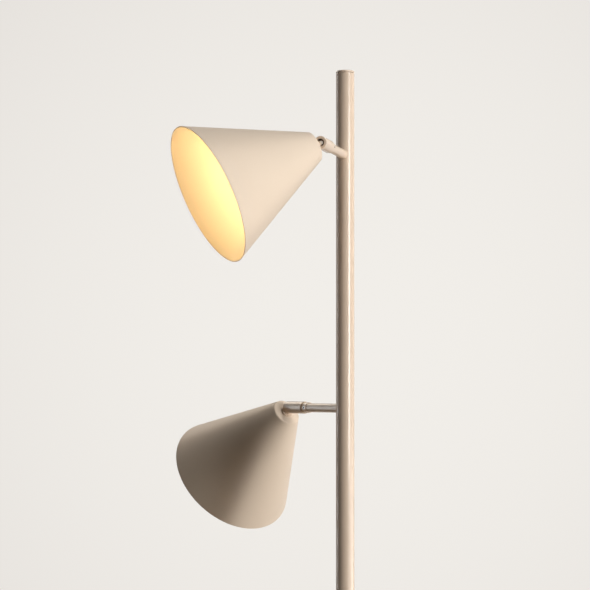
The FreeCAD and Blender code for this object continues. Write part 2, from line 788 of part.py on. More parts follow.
def build_holder(head, frame):
    """One lampholder: its cap, body, threaded sleeve and centre contact."""
    cap_inside = "holder_diameter - 2 * holder_wall"
    plug = f"{cap_inside} - 2 * thread_clearance"
    cap = turned(
        f"{head}_holder_cap",
        "X",
        [
            (HOLDER_BACK, HOLDER_THREAD),
            (HOLDER_BACK, "holder_throat_diameter"),
            (f"{HOLDER_BACK} + holder_flare", "holder_diameter"),
            (HOLDER_SEAM, "holder_diameter"),
            (HOLDER_SEAM, cap_inside),
            (f"{HOLDER_BACK} + holder_floor + holder_flare / 2", cap_inside),
            (f"{HOLDER_BACK} + holder_floor", HOLDER_THREAD),
        ],
    )
    node(cap, f"{head}_holder_cap", *frame)

    sleeve_bore = "bulb_cap_diameter + 2 * thread_clearance"
    sleeve_outer = f"{sleeve_bore} + 2 * sleeve_wall"
    body_bore = f"{sleeve_outer} + 2 * thread_clearance"
    rivet_hole = "rivet_diameter + 2 * thread_clearance"
    body = turned(
        f"{head}_holder_body",
        "X",
        [
            (PLATE_BACK, rivet_hole),
            (PLATE_BACK, plug),
            (HOLDER_SEAM, plug),
            (HOLDER_SEAM, "holder_diameter"),
            (HOLDER_FRONT, "holder_diameter"),
            (HOLDER_FRONT, body_bore),
            (PLATE_FRONT, body_bore),
            (PLATE_FRONT, rivet_hole),
        ],
    )
    node(body, f"{head}_holder_body", *frame)

    pipe(f"{head}_holder_sleeve", sleeve_outer, sleeve_bore, PLATE_FRONT, SLEEVE_FRONT, *frame)

    contact = turned(
        f"{head}_holder_contact",
        "X",
        [
            (PLATE_BACK, "0"),
            (PLATE_BACK, "rivet_diameter"),
            (PLATE_FRONT, "rivet_diameter"),
            (PLATE_FRONT, "contact_diameter"),
            (CONTACT_FRONT, "contact_diameter"),
            (CONTACT_FRONT, "0"),
        ],
    )
    node(contact, f"{head}_holder_contact", *frame)


def build_bulb(head, frame):
    """One globe bulb: its tip, screw cap, plastic shell and hollow diffuser."""
    tip_hole = "bulb_tip_diameter + 2 * thread_clearance"
    tip_front = f"{CAP_BACK} + bulb_cap_wall"
    tip = turned(
        f"{head}_bulb_tip",
        "X",
        [
            (CONTACT_FRONT, "0"),
            (CONTACT_FRONT, "bulb_tip_button"),
            (CAP_BACK, "bulb_tip_diameter"),
            (tip_front, "bulb_tip_diameter"),
            (tip_front, "0"),
        ],
    )
    node(tip, f"{head}_bulb_tip", *frame)

    cap_bore = "bulb_cap_diameter - 2 * bulb_cap_wall"
    cap = turned(
        f"{head}_bulb_cap",
        "X",
        [
            (CAP_BACK, tip_hole),
            (CAP_BACK, "bulb_cap_diameter - 2 * bulb_cap_taper"),
            (f"{CAP_BACK} + bulb_cap_taper", "bulb_cap_diameter"),
            (CAP_FRONT, "bulb_cap_diameter"),
            (CAP_FRONT, cap_bore),
            (f"{CAP_BACK} + bulb_cap_taper + bulb_cap_wall", cap_bore),
            (f"{CAP_BACK} + bulb_cap_wall", f"{cap_bore} - 2 * bulb_cap_taper"),
            (f"{CAP_BACK} + bulb_cap_wall", tip_hole),
        ],
    )
    node(cap, f"{head}_bulb_cap", *frame)

    neck = f"{cap_bore} - 2 * thread_clearance"
    neck_bore = f"{neck} - 2 * bulb_neck_wall"
    seam = "2 * sqrt(pow(bulb_diameter / 2; 2) - pow(bulb_seam_offset; 2))"
    shell = turned(
        f"{head}_bulb_shell",
        "X",
        [
            (f"{CAP_FRONT} - bulb_neck_length", neck_bore),
            (f"{CAP_FRONT} - bulb_neck_length", neck),
            (CAP_FRONT, neck),
            (CAP_FRONT, "bulb_shoulder_diameter"),
            (BULB_SEAM, seam),
            (BULB_SEAM, f"{seam} - 2 * bulb_shell_wall"),
            (f"{CAP_FRONT} + bulb_shell_wall", "bulb_shoulder_diameter - 2 * bulb_shell_wall"),
            (f"{CAP_FRONT} + bulb_shell_wall", neck_bore),
        ],
    )
    node(shell, f"{head}_bulb_shell", *frame)

    outside = document.addObject("Part::Sphere", f"{head}_globe_outside")
    outside.setExpression("Radius", bound("bulb_diameter / 2"))
    inside = document.addObject("Part::Sphere", f"{head}_globe_inside")
    inside.setExpression("Radius", bound("bulb_diameter / 2 - bulb_wall"))
    behind_seam = shift(z="-bulb_diameter - bulb_seam_offset")
    back = rod(f"{head}_globe_back", "2 * bulb_diameter", "bulb_diameter", behind_seam)
    globe = less(f"{head}_bulb_globe", outside, inside, back)
    node(globe, f"{head}_bulb_globe", *frame, shift(BULB_CENTRE), turn("Y", "90"))


def build_head_lead(head, frame):
    """The last stretch of lead, through the ball stud to the lampholder."""
    start = "-ball_diameter / 4"
    length = f"{PLATE_BACK} + ball_diameter / 4"
    lead = rod(f"{head}_head_lead", "lead_diameter", length)
    node(lead, f"{head}_head_lead", *frame, shift(start), turn("Y", "90"))


def build_pole_leads():
    """The two leads from the terminal block, up the pole and out along the arms."""
    half_spread = (size("lead_diameter") + size("lead_gap")) / 2
    arm_end = size("arm_reach") - size("seat_setback") - size("seat_length") - size("spring_height")
    for head, side in zip(HEADS, (-half_spread, half_spread)):
        arm = document.getObject(f"{head}_arm").Placement
        along = arm.Rotation.multVec(FreeCAD.Vector(1, 0, 0))
        low = FreeCAD.Vector(side, 0, size("lead_height"))
        high = FreeCAD.Vector(side, 0, arm.Base.z)
        start = low + FreeCAD.Vector(0, size("block_reach"), 0)
        finish = high + along * (arm_end - high.dot(along))
        bends = (size("lead_foot_bend"), size("lead_arm_bend"))
        bent_lead(f"{head}_pole_lead", [start, low, high, finish], bends)


def check_document():
    """Stops if any object failed to compute or any piece isn't a sound solid."""
    for item in document.Objects:
        if {"Invalid", "Error"} & set(item.State):
            raise RuntimeError(f"{item.Name}: {item.State}")
    for piece in pieces:
        if piece.Shape.isNull() or not piece.Shape.isValid() or not piece.Shape.Solids:
            raise RuntimeError(f"{piece.Label}: the shape isn't a sound solid")


fill_sheet()
build_foot()
build_inlet()
build_pole()
for side_name in HEADS:
    knuckle_frame = (
        shift(z=ARM_HEIGHTS[side_name]),
        turn("Z", f"{side_name}_arm_azimuth"),
        shift("arm_reach"),
        turn("X", f"{side_name}_swivel_angle"),
    )
    head_frame = (*knuckle_frame, turn("Y", f"{side_name}_tilt_angle"))
    build_arm(side_name)
    build_knuckle(side_name, knuckle_frame)
    build_shade(side_name, head_frame)
    build_holder(side_name, head_frame)
    build_bulb(side_name, head_frame)
    build_head_lead(side_name, head_frame)

document.recompute()
build_pole_leads()
document.recompute()
check_document()
os.makedirs("parts", exist_ok=True)
for piece in pieces:
    piece.Shape.exportStep(os.path.join("parts", f"{piece.Label}.step"))
    solids = len(piece.Shape.Solids)
    print(f"{piece.Label}: {solids} solid(s), {piece.Shape.Volume:.1f} mm3")
print(len(pieces), "nodes")
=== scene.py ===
"""Looks of the two-headed floor lamp: lacquered steel tubes and cones, lit bulbs and a pale studio.

Metres, +Z up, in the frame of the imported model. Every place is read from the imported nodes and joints,
so the pieces made here sit where the solids are.
"""

from __future__ import annotations

import json
import logging
import math
from collections.abc import Iterable, Sequence
from dataclasses import dataclass, field, replace
from enum import Enum

import bmesh
import bpy
from mathutils import Matrix, Vector

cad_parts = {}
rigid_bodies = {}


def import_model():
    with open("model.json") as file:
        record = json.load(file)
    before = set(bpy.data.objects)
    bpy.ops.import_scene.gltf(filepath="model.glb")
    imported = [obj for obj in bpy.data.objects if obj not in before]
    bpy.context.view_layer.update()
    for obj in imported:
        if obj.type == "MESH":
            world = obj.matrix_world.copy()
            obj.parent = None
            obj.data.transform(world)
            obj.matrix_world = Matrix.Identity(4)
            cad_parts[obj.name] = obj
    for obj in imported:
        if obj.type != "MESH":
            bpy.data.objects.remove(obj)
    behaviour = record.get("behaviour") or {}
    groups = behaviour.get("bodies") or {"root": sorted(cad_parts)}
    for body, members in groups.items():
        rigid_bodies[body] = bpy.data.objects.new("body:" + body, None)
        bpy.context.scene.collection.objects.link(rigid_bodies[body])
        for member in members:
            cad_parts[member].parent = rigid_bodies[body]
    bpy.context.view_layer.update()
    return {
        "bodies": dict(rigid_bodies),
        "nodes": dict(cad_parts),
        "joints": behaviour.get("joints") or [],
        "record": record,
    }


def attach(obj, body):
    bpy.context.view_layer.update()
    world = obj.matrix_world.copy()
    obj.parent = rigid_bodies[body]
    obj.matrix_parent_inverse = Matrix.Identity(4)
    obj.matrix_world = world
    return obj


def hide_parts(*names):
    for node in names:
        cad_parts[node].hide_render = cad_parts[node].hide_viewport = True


log = logging.getLogger("floor_lamp")

MM = 0.001
NEAR = 0.05 * MM
Colour = tuple[float, float, float]
Profile = list[tuple[float, float]]


# ---------------------------------------------------------------- shader tools


class Wire:
    """A node's output that takes part in Python arithmetic, one Math node for each operator."""

    def __init__(self, graph: Graph, socket: bpy.types.NodeSocket) -> None:
        """Wraps one socket of a graph."""
        self.graph = graph
        self.socket = socket

    def _math(self, operation: str, first: object, second: object) -> Wire:
        """Adds a Math node that joins two values."""
        return self.graph.add("ShaderNodeMath", {"operation": operation}, {0: first, 1: second})["Value"]

    def __add__(self, other: object) -> Wire:
        """The sum with a value or another wire."""
        return self._math("ADD", self, other)

    __radd__ = __add__

    def __sub__(self, other: object) -> Wire:
        """The difference from a value or another wire."""
        return self._math("SUBTRACT", self, other)

    def __rsub__(self, other: object) -> Wire:
        """A value less this wire."""
        return self._math("SUBTRACT", other, self)

    def __mul__(self, other: object) -> Wire:
        """The product with a value or another wire."""
        return self._math("MULTIPLY", self, other)

    __rmul__ = __mul__

    def __lt__(self, other: object) -> Wire:
        """One where this wire is the smaller, and zero elsewhere."""
        return self._math("LESS_THAN", self, other)

    def highest(self, other: object) -> Wire:
        """The larger of this wire and another value."""
        return self._math("MAXIMUM", self, other)


class Outputs:
    """The outputs of one node, read by name as wires."""

    def __init__(self, graph: Graph, node: bpy.types.Node) -> None:
        """Keeps the node and its graph."""
        self.graph = graph
        self.node = node

    def __getitem__(self, name: str) -> Wire:
        """The named output as a wire."""
        return Wire(self.graph, next(s for s in self.node.outputs if s.name == name and s.enabled))


class Graph:
    """The node tree of one material or of the world."""

    def __init__(self, tree: bpy.types.NodeTree) -> None:
        """Empties the tree.

        Args:
            tree: the node tree to fill.
        """
        self.tree = tree
        tree.nodes.clear()

    def add(self, kind: str, settings: dict | None = None, inputs: dict | None = None) -> Outputs:
        """Adds a node.

        Args:
            kind: the node's type.
            settings: its own properties, set first; "stops" holds a ramp's places and colours.
            inputs: a value, or a wire to link, for each socket by name or index.

        Returns:
            The node's outputs.
        """
        node = self.tree.nodes.new(kind)
        for name, value in (settings or {}).items():
            if name == "stops":
                self._fill_ramp(node.color_ramp, value)
            else:
                setattr(node, name, value)
        for key, value in (inputs or {}).items():
            socket = node.inputs[key] if isinstance(key, int) else self._input(node, key)
            if isinstance(value, Wire):
                self.tree.links.new(value.socket, socket)
            else:
                socket.default_value = value
        return Outputs(self, node)

    @staticmethod
    def _input(node: bpy.types.Node, name: str) -> bpy.types.NodeSocket:
        """The enabled input with that name, where a node holds several of one name."""
        return next(s for s in node.inputs if s.name == name and s.enabled)

    @staticmethod
    def _fill_ramp(ramp: bpy.types.ColorRamp, stops: Sequence[tuple[float, Colour]]) -> None:
        """Gives a colour ramp its stops, in order."""
        while len(ramp.elements) < len(stops):
            ramp.elements.new(1.0)
        for element, (place, colour) in zip(ramp.elements, stops):
            element.position = place
            element.color = (*colour, 1.0)

    def noise(self, scale: float, detail: float = 3.0, stretch: Colour = (1.0, 1.0, 1.0)) -> Wire:
        """Noise in the object's own coordinates.

        Args:
            scale: features per metre.
            detail: how many finer layers it has.
            stretch: how much denser it is along each axis.

        Returns:
            The noise, from 0 to 1.
        """
        place = self.add("ShaderNodeTexCoord")["Object"]
        mapped = self.add("ShaderNodeMapping", {}, {"Vector": place, "Scale": stretch})["Vector"]
        inputs = {"Vector": mapped, "Scale": scale, "Detail": detail}
        return self.add("ShaderNodeTexNoise", {}, inputs)["Fac"]

    def reach(self, origin: Vector) -> Wire:
        """The line from a point of the object to each place on its surface."""
        place = self.add("ShaderNodeTexCoord")["Object"]
        inputs = {0: place, 1: tuple(origin)}
        return self.add("ShaderNodeVectorMath", {"operation": "SUBTRACT"}, inputs)["Vector"]

    def station(self, origin: Vector, along: Vector) -> Wire:
        """How far along a line each place on the surface is."""
        inputs = {0: self.reach(origin), 1: tuple(along)}
        return self.add("ShaderNodeVectorMath", {"operation": "DOT_PRODUCT"}, inputs)["Value"]

    def away(self, origin: Vector, along: Vector | None = None) -> Wire:
        """How far each place on the surface is from a point, or from a line through it."""
        line = self.reach(origin)
        if along is not None:
            inputs = {0: line, 1: tuple(along)}
            line = self.add("ShaderNodeVectorMath", {"operation": "CROSS_PRODUCT"}, inputs)["Vector"]
        return self.add("ShaderNodeVectorMath", {"operation": "LENGTH"}, {0: line})["Value"]

    def blend(self, factor: object, low: object, high: object) -> Wire:
        """Mixes two colours by a factor."""
        settings = {"data_type": "RGBA"}
        return self.add("ShaderNodeMix", settings, {"Factor": factor, "A": low, "B": high})["Result"]

    def bump(self, height: Wire, depth: float) -> Wire:
        """A bumped normal, where the height's whole span is that depth in metres."""
        inputs = {"Height": height, "Distance": depth, "Strength": 1.0}
        return self.add("ShaderNodeBump", {}, inputs)["Normal"]


def tint(colour: Colour, share: float) -> tuple[float, float, float, float]:
    """A colour made lighter or darker by a share, with its alpha."""
    return (*(min(1.0, channel * share) for channel in colour), 1.0)


# ---------------------------------------------------------------- finishes


@dataclass(frozen=True)
class Finish:
    """What every surface finish has: its colour and how smooth it is."""

    name: str
    colour: Colour
    roughness: float
    roughness_span: float = 0.06
    metallic: float = 0.0
    gloss: float = 0.5
    gloss_tint: Colour = (1.0, 1.0, 1.0)
    coat: float = 0.0
    coat_roughness: float = 0.1
    grain: float = 900.0
    grain_depth: float = 0.00002
    grain_stretch: Colour = (1.0, 1.0, 1.0)
    colour_span: float = 0.03

    def make(self) -> bpy.types.Material:
        """Builds the material.

        Returns:
            The finished material.
        """
        material = bpy.data.materials.new(self.name)
        material.use_nodes = True
        graph = Graph(material.node_tree)
        shader = self.shade(graph)
        graph.add("ShaderNodeOutputMaterial", {}, {"Surface": shader})
        return material

    def surface(self, graph: Graph) -> dict:
        """The varying colour, roughness and normal that all the finishes share."""
        cloud = graph.noise(14.0, 2.0)
        grain = graph.noise(self.grain, 3.0, self.grain_stretch)
        low = tint(self.colour, 1 - self.colour_span)
        high = tint(self.colour, 1 + self.colour_span)
        return {
            "Base Color": graph.blend(cloud, low, high),
            "Roughness": (cloud - 0.5) * self.roughness_span + self.roughness,
            "Metallic": self.metallic,
            "Specular IOR Level": self.gloss,
            "Specular Tint": (*self.gloss_tint, 1.0),
            "Normal": graph.bump(grain, self.grain_depth),
            "Coat Weight": self.coat,
            "Coat Roughness": self.coat_roughness,
        }

    def shade(self, graph: Graph) -> Wire:
        """The shader itself."""
        return graph.add("ShaderNodeBsdfPrincipled", {}, self.surface(graph))["BSDF"]


@dataclass(frozen=True)
class Lit(Finish):
    """A finish that also gives light, most at its front, as the square of the way from its seam."""

    glow: Colour = (1.0, 0.83, 0.47)
    strength: float = 41.0
    seam_share: float = 0.03
    seam: Vector = Vector()
    along: Vector = Vector((1, 0, 0))
    depth: float = 40.0 * MM

    def shade(self, graph: Graph) -> Wire:
        """The shader, with its emission."""
        inputs = self.surface(graph)
        share = graph.station(self.seam, self.along) * (1 / self.depth)
        clamped = graph.add("ShaderNodeClamp", {}, {"Value": share})["Result"]
        at_seam = tint(self.glow, self.seam_share)
        inputs["Emission Color"] = graph.blend(clamped * clamped, at_seam, tint(self.glow, 1))
        inputs["Emission Strength"] = self.strength
        return graph.add("ShaderNodeBsdfPrincipled", {}, inputs)["BSDF"]


@dataclass(frozen=True)
class RubbedBall(Finish):
    """Lacquer that stops at a ball of bare polished steel, which turns in its seat."""

    pivot: Vector = Vector()
    ball_radius: float = 5.05 * MM
    bare: Colour = (0.62, 0.57, 0.51)
    bare_roughness: float = 0.16

    def surface(self, graph: Graph) -> dict:
        """The lacquer's inputs, with the ball's own colour and shine on the ball."""
        inputs = super().surface(graph)
        on_ball = graph.away(self.pivot) < self.ball_radius
        inputs["Base Color"] = graph.blend(on_ball, inputs["Base Color"], tint(self.bare, 1))
        inputs["Metallic"] = on_ball
        off_ball = 1.0 - on_ball
        inputs["Roughness"] = inputs["Roughness"] * off_ball + on_ball * self.bare_roughness
        return inputs


@dataclass(frozen=True)
class ShadeDarkenedBore(Finish):
    """Lacquer outside, and a bare bore painted dark: painted shade where shade falls inside the recess."""

    pivot: Vector = Vector()
    along: Vector = Vector((1, 0, 0))
    bore_radius: float = 4.02 * MM
    bore_roughness: float = 0.6
    # painted shade: this dark colour stands for the shade inside the bore's recess
    bore: Colour = (0.09, 0.06, 0.04)

    def surface(self, graph: Graph) -> dict:
        """The lacquer's inputs, with painted shade: the bore's colour is made dark inside."""
        inputs = super().surface(graph)
        # painted shade: inside the bore's radius the colour is darkened
        inside = graph.away(self.pivot, self.along) < self.bore_radius
        inputs["Base Color"] = graph.blend(inside, inputs["Base Color"], tint(self.bore, 1))
        inputs["Roughness"] = inputs["Roughness"] * (1.0 - inside) + inside * self.bore_roughness
        return inputs


BEIGE: Colour = (0.73, 0.605, 0.48)
# The tube beige is the same paint as BEIGE, made darker and warmer so that the tubes' shaded side renders
# dark: partly painted shade.
SHADED_TUBE_BEIGE: Colour = (0.71, 0.555, 0.42)
WARM: Colour = (1.0, 0.72, 0.48)
TUBE_LACQUER = {
    "colour": SHADED_TUBE_BEIGE,
    "roughness": 0.21,
    "roughness_span": 0.02,
    "gloss": 0.6,
    "grain": 500.0,
    "grain_depth": 0.0000004,
}
ZINC = {"colour": (0.62, 0.64, 0.67), "roughness": 0.3, "metallic": 1.0, "colour_span": 0.08}


class Slot(Enum):
    """Each material slot of the record, with its finish."""

    shade_paint = Finish(
        "shade_lacquer", BEIGE, 0.48, gloss=0.3, gloss_tint=WARM, grain=1300.0, grain_depth=0.000006
    )
    tube_paint = Finish("tube_lacquer", **TUBE_LACQUER)
    zinc_steel = Finish("bright_zinc", **ZINC)
    cast_iron = Finish("primed_casting", (0.05, 0.05, 0.055), 0.75, grain=420.0, grain_depth=0.0002)
    pad_rubber = Finish("foam_pad", (0.03, 0.03, 0.03), 0.9, grain=1500.0, grain_depth=0.0001)
    black_plastic = Finish("black_moulding", (0.02, 0.02, 0.02), 0.45, grain=2200.0)
    seat_plastic = Finish("natural_nylon", (0.72, 0.70, 0.64), 0.4)
    brass = Finish("dull_brass", (0.40, 0.28, 0.14), 0.4, metallic=1.0, colour_span=0.1)
    nickel = Finish("bright_nickel", (0.70, 0.68, 0.64), 0.18, metallic=1.0)
    lead_sheath = Finish("lead_sheath", (0.66, 0.63, 0.57), 0.4)
    bulb_plastic = Finish("bulb_moulding", (0.85, 0.84, 0.80), 0.3)
    bulb_diffuser = Lit("opal_diffuser", (0.9, 0.85, 0.75), 0.4)


class Palette:
    """The materials by slot, each made once."""

    def __init__(self) -> None:
        """Makes every slot's material."""
        self.materials = {slot.name: slot.value.make() for slot in Slot}

    def dress(self, piece: bpy.types.Object, slot: str) -> None:
        """Gives all of a piece the finish of one slot."""
        self.cover(piece, self.materials[slot])

    @staticmethod
    def cover(piece: bpy.types.Object, material: bpy.types.Material) -> None:
        """Gives all of a piece one material."""
        piece.data.materials.clear()
        piece.data.materials.append(material)


# ---------------------------------------------------------------- mesh tools


@dataclass(frozen=True)
class Axle:
    """A line through the object, along which turned pieces are measured and made."""

    origin: Vector
    along: Vector

    def matrix(self) -> Matrix:
        """The place whose X axis lies along the line."""
        turn = Vector((1, 0, 0)).rotation_difference(self.along)
        return Matrix.Translation(self.origin) @ turn.to_matrix().to_4x4()

    def measured(self, node: bpy.types.Object) -> Profile:
        """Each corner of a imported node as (station along the line, distance from it)."""
        found = []
        for vertex in node.data.vertices:
            reach = vertex.co - self.origin
            station = reach.dot(self.along)
            found.append((station, (reach - self.along * station).length))
        return found


class TurnedPiece:
    """A smooth piece turned about an axle from a closed profile."""

    def __init__(
        self, name: str, axle: Axle, profile: Profile, segments: int = 192, hexed: Sequence[int] = ()
    ) -> None:
        """Builds the mesh and links its object.

        Args:
            name: the piece's name.
            axle: the line it is turned about.
            profile: its corners as (station, radius), in order round the section.
            segments: how many steps make the turn.
            hexed: the corners that follow a hexagon, whose flats are at their radius.
        """
        mesh = bpy.data.meshes.new(name)
        shape = bmesh.new()
        ends = {place: shape.verts.new((x, 0, 0)) for place, (x, r) in enumerate(profile) if r == 0}
        rings = []
        for step in range(segments):
            angle = 2 * math.pi * step / segments
            across, up = math.cos(angle), math.sin(angle)
            flat = 1 / math.cos((angle + math.pi / 6) % (math.pi / 3) - math.pi / 6)
            ring = []
            for place, (x, r) in enumerate(profile):
                out = r * flat if place in hexed else r
                ring.append(ends[place] if place in ends else shape.verts.new((x, out * across, out * up)))
            rings.append(ring)
        for step, ring in enumerate(rings):
            following = rings[(step + 1) % segments]
            for corner in range(len(profile)):
                after = (corner + 1) % len(profile)
                face = tuple(dict.fromkeys((ring[corner], ring[after], following[after], following[corner])))
                if len(face) > 2:
                    shape.faces.new(face)
        bmesh.ops.recalc_face_normals(shape, faces=shape.faces)
        shape.to_mesh(mesh)
        shape.free()
        mesh.transform(axle.matrix())
        mesh.polygons.foreach_set("use_smooth", [True] * len(mesh.polygons))
        mesh.set_sharp_from_angle(angle=math.radians(35))
        self.piece = bpy.data.objects.new(name, mesh)
        bpy.context.scene.collection.objects.link(self.piece)


def arc(centre: tuple[float, float], radius: float, start: float, end: float, steps: int) -> Profile:
    """Profile corners round an arc.

    Args:
        centre: its centre as (station, radius).
        radius: its radius.
        start: where it starts, in degrees from the station axis.
        end: where it ends.
        steps: how many steps it takes.

    Returns:
        The corners, both ends included.
    """
    angles = [math.radians(start + (end - start) * step / steps) for step in range(steps + 1)]
    return [(centre[0] + radius * math.cos(a), centre[1] + radius * math.sin(a)) for a in angles]


# ---------------------------------------------------------------- sub-assemblies


@dataclass
class SubAssembly:
    """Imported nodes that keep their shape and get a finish."""

    frame: dict
    palette: Palette
    prefix: str = ""
    members: Sequence[str] = ()
    softened: Sequence[str] = ()
    broken_edge: float = 0.2 * MM
    edge_angle: float = 40.0

    def slots(self) -> dict[str, str]:
        """The record's material slot for each node."""
        return {part["node"]: part["material_slot"] for part in self.frame["record"]["subparts"]}

    def soften(self, node: bpy.types.Object) -> None:
        """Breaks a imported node's sharp edges, where its mesh joins their faces, as deburring does."""
        edges = node.modifiers.new("broken_edges", "BEVEL")
        edges.width = self.broken_edge
        edges.segments = 2
        edges.limit_method = "ANGLE"
        edges.angle_limit = math.radians(self.edge_angle)
        edges.harden_normals = True

    def dress(self) -> Iterable[str]:
        """Gives each member its finish.

        Returns:
            The names of the dressed nodes.
        """
        slots = self.slots()
        special = self.special_finishes()
        for member in self.members:
            name = f"{self.prefix}{member}"
            node = self.frame["nodes"][name]
            if member in special:
                self.palette.cover(node, special[member].make())
            else:
                self.palette.dress(node, slots[name])
            if member in self.softened:
                self.soften(node)
            yield name

    def special_finishes(self) -> dict[str, Finish]:
        """The members whose finish depends on where they are."""
        return {}

    def build_pieces(self) -> Iterable[str]:
        """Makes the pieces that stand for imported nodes.

        Returns:
            The names of the new pieces.
        """
        return ()

    def stand_in(self, node: str, body: str, turned: TurnedPiece, finish: Finish | None = None) -> str:
        """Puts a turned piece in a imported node's place.

        Args:
            node: the node that it stands for.
            body: the body that it rides on.
            turned: the new piece.
            finish: its own finish, where its slot's isn't enough.

        Returns:
            The new piece's name.
        """
        slot = self.slots()[node]
        if finish is None:
            self.palette.dress(turned.piece, slot)
        else:
            self.palette.cover(turned.piece, finish.make())
        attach(turned.piece, body)
        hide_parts(node)
        return turned.piece.name

    def joint(self, name: str) -> dict:
        """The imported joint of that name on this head."""
        return next(joint for joint in self.frame["joints"] if joint["name"] == f"{self.prefix}{name}")

    def swivel_axle(self) -> Axle:
        """The line that the arm and the barrel lie along, from the ball's centre."""
        swivel = self.joint("swivel")
        return Axle(Vector(swivel["pos_m"]), Vector(swivel["axis"]).normalized())


@dataclass
class Foot(SubAssembly):
    """The weighted foot with its cable inlet."""

    members: Sequence[str] = (
        "base_pad",
        "base_weight",
        "base_cover",
        "base_stud_tube",
        "base_washer",
        "base_nut",
        "cable_gland",
        "terminal_block",
        "terminal_screws",
    )
    softened: Sequence[str] = ("base_cover",)

    def special_finishes(self) -> dict[str, Finish]:
        """The cover's satin lacquer, which shows no glare where it is looked along."""
        return {"base_cover": Finish("cover_lacquer", SHADED_TUBE_BEIGE, 0.55, gloss=0.3, grain_depth=0.000006)}


@dataclass
class Pole(SubAssembly):
    """The two tubes with their foot, joiner and cap."""

    members: Sequence[str] = ("pole_foot", "pole_lower", "pole_upper", "pole_joiner")
    cap_gap: float = 0.55 * MM
    cap_break: float = 0.15 * MM
    cap_steps: int = 6

    def build_pieces(self) -> Iterable[str]:
        """Makes the cap, which stands just clear of the tube's end.

        Returns:
            The cap's name.
        """
        axle = Axle(Vector(), Vector((0, 0, 1)))
        measured = axle.measured(self.frame["nodes"]["pole_cap"])
        bottom = min(station for station, _ in measured)
        top = max(station for station, _ in measured)
        rim = max(radius for _, radius in measured)
        neck = max(radius for station, radius in measured if station - bottom < NEAR)
        seat = min(station for station, radius in measured if rim - radius < NEAR)
        crown = max(radius for station, radius in measured if top - station < NEAR)
        under = seat + self.cap_gap
        edge = rim - crown
        profile = [
            (bottom, 0),
            (bottom, neck),
            (under, neck),
            (under, rim - self.cap_break),
            (under + self.cap_break, rim),
            *arc((top - edge, crown), edge, 90, 0, self.cap_steps),
            (top, 0),
        ]
        yield self.stand_in("pole_cap", "root", TurnedPiece("pole_cap_turned", axle, profile))


@dataclass
class Arm(SubAssembly):
    """One side arm with what holds it, its collar and its lead."""

    members: Sequence[str] = ("arm_anchor", "arm", "arm_collar", "snap_ring", "pole_lead")
    socket_flats: float = 2.0 * MM
    socket_depth: float = 1.3 * MM
    # painted shade: the socket's colour is near black, and socket_reach spreads it a little past the flats,
    # for the shade in the recess
    socket_reach: float = 1.16
    socket_painted_shade: Colour = (0.01, 0.01, 0.01)
    screw_chamfer: float = 0.2 * MM
    screw_segments: int = 72

    def build_pieces(self) -> Iterable[str]:
        """Makes the grub screw with its hexagon socket, whose recess is painted near black as painted shade.

        Returns:
            The screw's name.
        """
        node = f"{self.prefix}collar_screw"
        line = self.swivel_axle()
        places = [vertex.co for vertex in self.frame["nodes"][node].data.vertices]
        centre = sum(places, Vector()) / len(places)
        foot = line.origin + line.along * (centre - line.origin).dot(line.along)
        axle = Axle(foot, (centre - foot).normalized())
        measured = axle.measured(self.frame["nodes"][node])
        bottom = min(station for station, _ in measured)
        top = max(station for station, _ in measured)
        rim = max(radius for _, radius in measured)
        flat = self.socket_flats / 2
        profile = [
            (bottom, 0),
            (bottom, rim),
            (top - self.screw_chamfer, rim),
            (top, rim - self.screw_chamfer),
            (top, flat),
            (top - self.socket_depth, flat),
            (top - self.socket_depth, 0),
        ]
        # painted shade: the socket recess is coloured near black for the shade inside it
        finish = ShadeDarkenedBore(
            "screw_zinc",
            **ZINC,
            pivot=axle.origin,
            along=axle.along,
            bore_radius=self.socket_reach * flat,
            bore=self.socket_painted_shade,
        )
        turned = TurnedPiece(f"{node}_socket", axle, profile, self.screw_segments, (4, 5))
        yield self.stand_in(node, "root", turned, finish)


@dataclass
class Knuckle(SubAssembly):
    """One swivelling barrel and what it holds."""

    members: Sequence[str] = ("barrel", "barrel_bush", "ball_seat", "seat_spring")

    def special_finishes(self) -> dict[str, Finish]:
        """The barrel's lacquer, which stops at its bore, where the bore is painted dark as painted shade."""
        line = self.swivel_axle()
        return {"barrel": ShadeDarkenedBore("barrel_lacquer", **TUBE_LACQUER, pivot=line.origin, along=line.along)}


